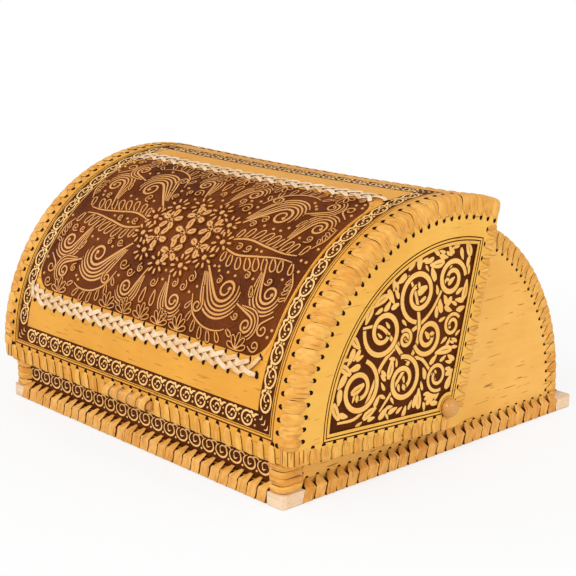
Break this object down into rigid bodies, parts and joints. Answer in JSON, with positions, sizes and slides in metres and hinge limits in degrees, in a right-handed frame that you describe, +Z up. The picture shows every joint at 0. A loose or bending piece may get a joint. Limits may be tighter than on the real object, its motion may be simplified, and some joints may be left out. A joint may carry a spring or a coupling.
{
  "type": "roll-top birch bark bread box",
  "caption": "Half-round bread box of laced birch bark on a lath base, with a carved lid that rolls back over the body on two wooden pegs.",
  "frame": {"origin": "centre of the box on the table, under the middle of its outer bounds", "axes": "+Z up, -Y the front where the lid opens, +X the right-hand side seen from the front; the pegs lie along X"},
  "size_m": [0.3962, 0.3528, 0.2115],
  "materials": {
    "birch_bark": "satin",
    "bark_strip": "satin",
    "bare_wood": "matte",
    "dark_bark": "satin",
    "braid": "matte"
  },
  "bodies": {
    "base": {"back_shell": "birch_bark", "back_shell_rim": "bare_wood", "base_board": "bare_wood", "base_lath_front": "bare_wood", "base_lath_left": "bare_wood", "base_lath_rear": "bare_wood", "base_lath_right": "bare_wood", "body_side_left": "birch_bark", "body_side_right": "birch_bark", "corner_post_left": "bare_wood", "corner_post_right": "bare_wood", "front_panel": "birch_bark", "hinge_blocks": "bare_wood", "hinge_pegs": "bare_wood", "hinge_spacers": "bare_wood", "lacing_back_left": "bark_strip", "lacing_back_right": "bark_strip", "lacing_base_front": "bark_strip", "lacing_base_left": "bark_strip", "lacing_base_rear": "bark_strip", "lacing_base_right": "bark_strip", "post_wrap_left": "bark_strip", "post_wrap_right": "bark_strip"},
    "lid": {"front_braid": "braid", "grip_lashing": "bark_strip", "lacing_lid_arc_left": "bark_strip", "lacing_lid_arc_right": "bark_strip", "lacing_lid_front": "bark_strip", "lacing_lid_rear": "bark_strip", "lacing_side_bottom_left": "bark_strip", "lacing_side_bottom_right": "bark_strip", "lacing_side_rear_left": "bark_strip", "lacing_side_rear_right": "bark_strip", "lid_centre_panel": "dark_bark", "lid_grip": "bare_wood", "lid_lining": "birch_bark", "lid_rim_lath": "bare_wood", "lid_shell": "birch_bark", "lid_side_backing_left": "dark_bark", "lid_side_backing_right": "dark_bark", "lid_side_carved_left": "birch_bark", "lid_side_carved_right": "birch_bark", "lid_side_left": "birch_bark", "lid_side_right": "birch_bark", "rear_braid": "braid"}
  },
  "joints": [
    {"name": "lid_hinge", "type": "hinge", "parent": "base", "child": "lid", "pos_m": [0, -0.002, 0.0435], "axis": [-1, 0, 0], "range_deg": [0, 65]}
  ]
}
